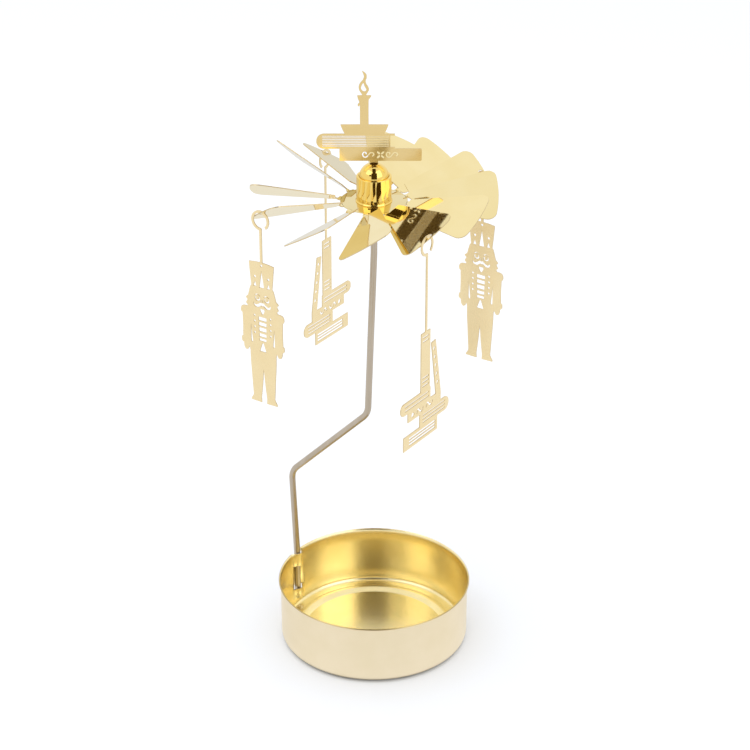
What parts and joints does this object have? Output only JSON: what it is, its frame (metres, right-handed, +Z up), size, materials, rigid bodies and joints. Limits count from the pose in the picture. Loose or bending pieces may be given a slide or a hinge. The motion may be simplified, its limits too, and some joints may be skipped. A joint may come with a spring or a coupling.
{
  "type": "tealight candle carousel",
  "caption": "Pressed metal tealight cup with a bent wire mast; a bladed heat fan carrying hanging flat figures turns on the mast's needle point above the flame.",
  "frame": {"origin": "middle of the cup's underside, on the surface it stands on", "axes": "+Z up along the turning axis, -X from the axis to the mast's foot in the cup wall"},
  "size_m": [0.0726, 0.0726, 0.1882],
  "materials": {
    "satin_gold": "satin",
    "nickel_wire": "drawn wire, satin",
    "mirror_gold": "polished",
    "hub_gold": "polished",
    "etched_gold": "satin, etched edges"
  },
  "bodies": {
    "stand": {"tealight_cup": "satin_gold", "wire_mast": "nickel_wire"},
    "rotor": {"fan_wheel": "mirror_gold", "hub_sleeve": "hub_gold", "hub_dome": "hub_gold", "pivot_cup": "hub_gold", "topper": "etched_gold"},
    "left_nutcracker": {"nutcracker_a": "etched_gold"},
    "right_nutcracker": {"nutcracker_b": "etched_gold"},
    "front_books": {"book_stack_a": "etched_gold"},
    "back_books": {"book_stack_b": "etched_gold"}
  },
  "joints": [
    {"name": "rotor_spin", "type": "hinge", "parent": "stand", "child": "rotor", "pos_m": [0, 0, 0.1553], "axis": [0, 0, 1], "continuous": true},
    {"name": "left_nutcracker_swing", "type": "hinge", "parent": "rotor", "child": "left_nutcracker", "pos_m": [-0.01957, -0.02963, 0.15087], "axis": [-0.9994, 0.0349, 0], "range_deg": [-5, 30]},
    {"name": "right_nutcracker_swing", "type": "hinge", "parent": "rotor", "child": "right_nutcracker", "pos_m": [0.01957, 0.02963, 0.15087], "axis": [0.9994, -0.0349, 0], "range_deg": [-5, 30]},
    {"name": "front_books_swing", "type": "hinge", "parent": "rotor", "child": "front_books", "pos_m": [0.02963, -0.01957, 0.15087], "axis": [-0.0349, -0.9994, 0], "range_deg": [-5, 30]},
    {"name": "back_books_swing", "type": "hinge", "parent": "rotor", "child": "back_books", "pos_m": [-0.02963, 0.01957, 0.15087], "axis": [0.0349, 0.9994, 0], "range_deg": [-5, 30]}
  ]
}
